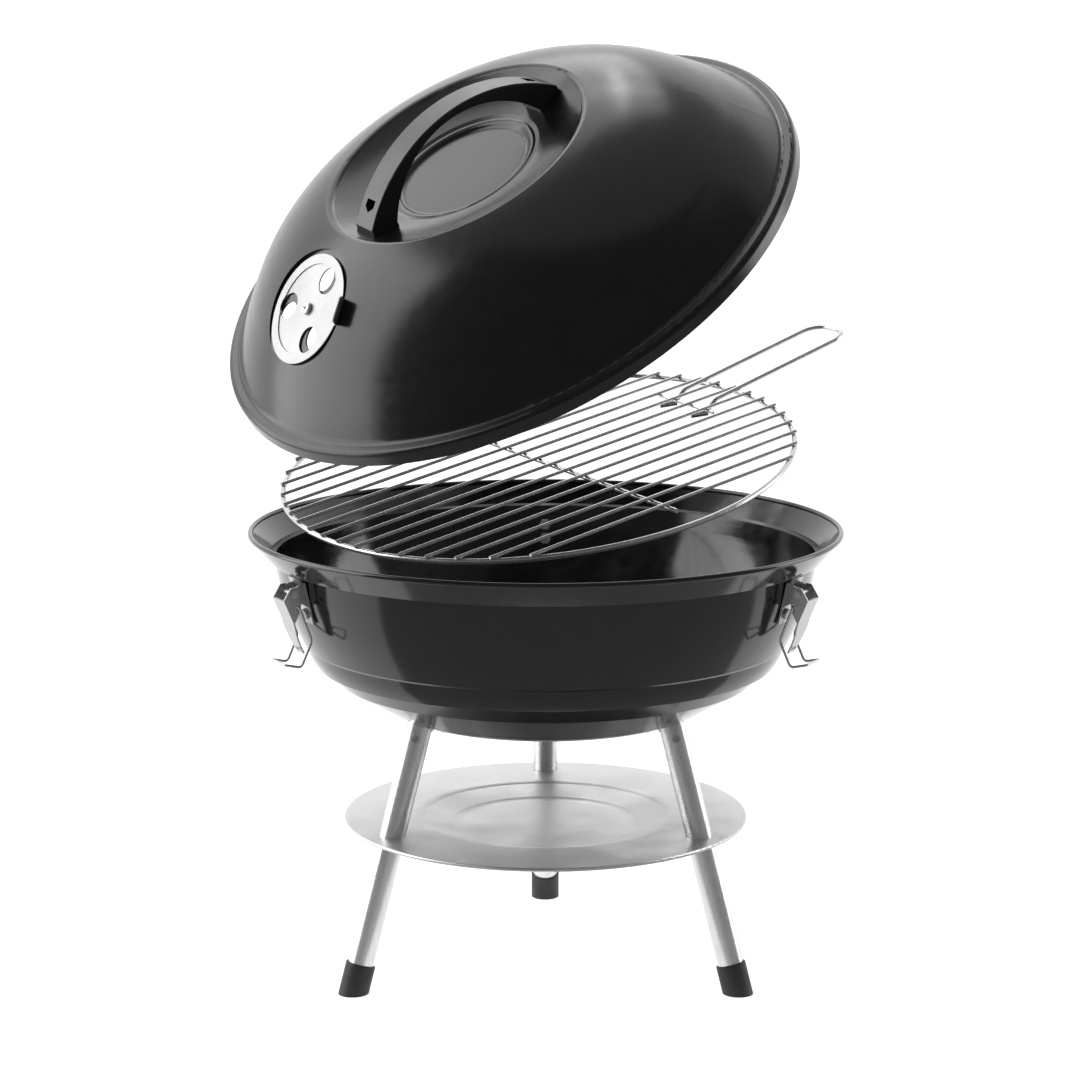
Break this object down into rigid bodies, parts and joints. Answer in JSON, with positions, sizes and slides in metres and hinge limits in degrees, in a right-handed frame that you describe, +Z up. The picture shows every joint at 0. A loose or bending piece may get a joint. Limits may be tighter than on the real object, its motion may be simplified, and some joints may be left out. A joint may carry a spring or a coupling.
{
  "type": "kettle charcoal grill",
  "caption": "Small round kettle grill on splayed tube legs, shown opened: lifted domed lid and wire grate over an enamelled bowl, side latches, ash plate.",
  "frame": {"origin": "centre of the three feet on the floor, on the bowl's axis", "axes": "+Z up along the bowl's axis, -Y the front, towards the viewer between the two front legs, +X the viewer's right"},
  "size_m": [0.3951, 0.3883, 0.5762],
  "materials": {
    "enamel": "high gloss black enamel on pressed steel",
    "charcoal_grid": "satin black pressed steel",
    "socket_steel": "satin brushed tube",
    "tube_steel": "satin brushed tube",
    "cap_rubber": "matt black rubber",
    "plate_steel": "satin brushed sheet",
    "hardware": "zinc plated steel",
    "latch_steel": "bright plated pressed steel",
    "wire_chrome": "bright chrome plated wire",
    "handle_plastic": "black heat proof plastic, satin on top",
    "damper_steel": "pale satin pressed metal"
  },
  "bodies": {
    "bowl": {"bowl_shell": "enamel", "charcoal_grate": "charcoal_grid", "ash_plate": "plate_steel", "leg_bolts": "hardware", "leg_washers": "hardware", "leg_nuts": "hardware", "leg_lock_screws": "hardware", "latch_screws": "hardware", "latch_nuts": "hardware", "leg_socket_left": "socket_steel", "leg_tube_left": "tube_steel", "foot_cap_left": "cap_rubber", "latch_base_left": "latch_steel", "lever_pin_left": "hardware", "leg_socket_right": "socket_steel", "leg_tube_right": "tube_steel", "foot_cap_right": "cap_rubber", "latch_base_right": "latch_steel", "lever_pin_right": "hardware", "leg_socket_rear": "socket_steel", "leg_tube_rear": "tube_steel", "foot_cap_rear": "cap_rubber", "latch_base_rear": "latch_steel", "lever_pin_rear": "hardware"},
    "lever_left": {"latch_lever_left": "latch_steel"},
    "bail_left": {"latch_bail_left": "wire_chrome"},
    "lever_right": {"latch_lever_right": "latch_steel"},
    "bail_right": {"latch_bail_right": "wire_chrome"},
    "lever_rear": {"latch_lever_rear": "latch_steel"},
    "bail_rear": {"latch_bail_rear": "wire_chrome"},
    "grate": {"cooking_grate": "wire_chrome"},
    "grate_handle": {"grate_handle": "wire_chrome"},
    "lid": {"lid_shell": "enamel", "lid_handle": "handle_plastic", "handle_screws": "hardware", "handle_nuts": "hardware", "vent_screw": "hardware", "vent_washer": "hardware", "vent_nut": "hardware"},
    "vent": {"vent_damper": "damper_steel"}
  },
  "joints": [
    {"name": "grate_lift", "type": "hinge", "parent": "bowl", "child": "grate", "pos_m": [-0.23765, -0.13967, 0.35751], "axis": [-0.8042, 0.4835, -0.3457], "range_deg": [0, 13.75]},
    {"name": "handle_unhook", "type": "slide", "parent": "grate", "child": "grate_handle", "axis": [0.721, 0.4743, 0.5051], "range_m": [0, 0.11]},
    {"name": "lid_lift", "type": "hinge", "parent": "grate", "child": "lid", "pos_m": [-0.1749, -0.24734, 0.26246], "axis": [-0.6679, 0.7098, 0.2238], "range_deg": [0, 24.3]},
    {"name": "vent_turn", "type": "hinge", "parent": "lid", "child": "vent", "pos_m": [-0.14299, -0.09215, 0.42747], "axis": [-0.7451, -0.5445, 0.3852], "range_deg": [-46, 14]},
    {"name": "lever_turn_left", "type": "hinge", "parent": "bowl", "child": "lever_left", "pos_m": [-0.15329, -0.0885, 0.256], "axis": [0.5, -0.866, 0], "range_deg": [-100, 6]},
    {"name": "bail_swing_left", "type": "hinge", "parent": "lever_left", "child": "bail_left", "pos_m": [-0.15173, -0.0876, 0.2486], "axis": [-0.5, 0.866, 0], "range_deg": [0, 160]},
    {"name": "lever_turn_right", "type": "hinge", "parent": "bowl", "child": "lever_right", "pos_m": [0.15329, -0.0885, 0.256], "axis": [0.5, 0.866, 0], "range_deg": [-100, 6]},
    {"name": "bail_swing_right", "type": "hinge", "parent": "lever_right", "child": "bail_right", "pos_m": [0.15173, -0.0876, 0.2486], "axis": [-0.5, -0.866, 0], "range_deg": [0, 160]},
    {"name": "lever_turn_rear", "type": "hinge", "parent": "bowl", "child": "lever_rear", "pos_m": [0, 0.177, 0.256], "axis": [-1, 0, 0], "range_deg": [-100, 6]},
    {"name": "bail_swing_rear", "type": "hinge", "parent": "lever_rear", "child": "bail_rear", "pos_m": [0, 0.1752, 0.2486], "axis": [1, 0, 0], "range_deg": [0, 160]}
  ],
  "couplings": [
    {"joint": "handle_unhook", "follows": "grate_lift", "m_per_rad": 0.45827}
  ]
}
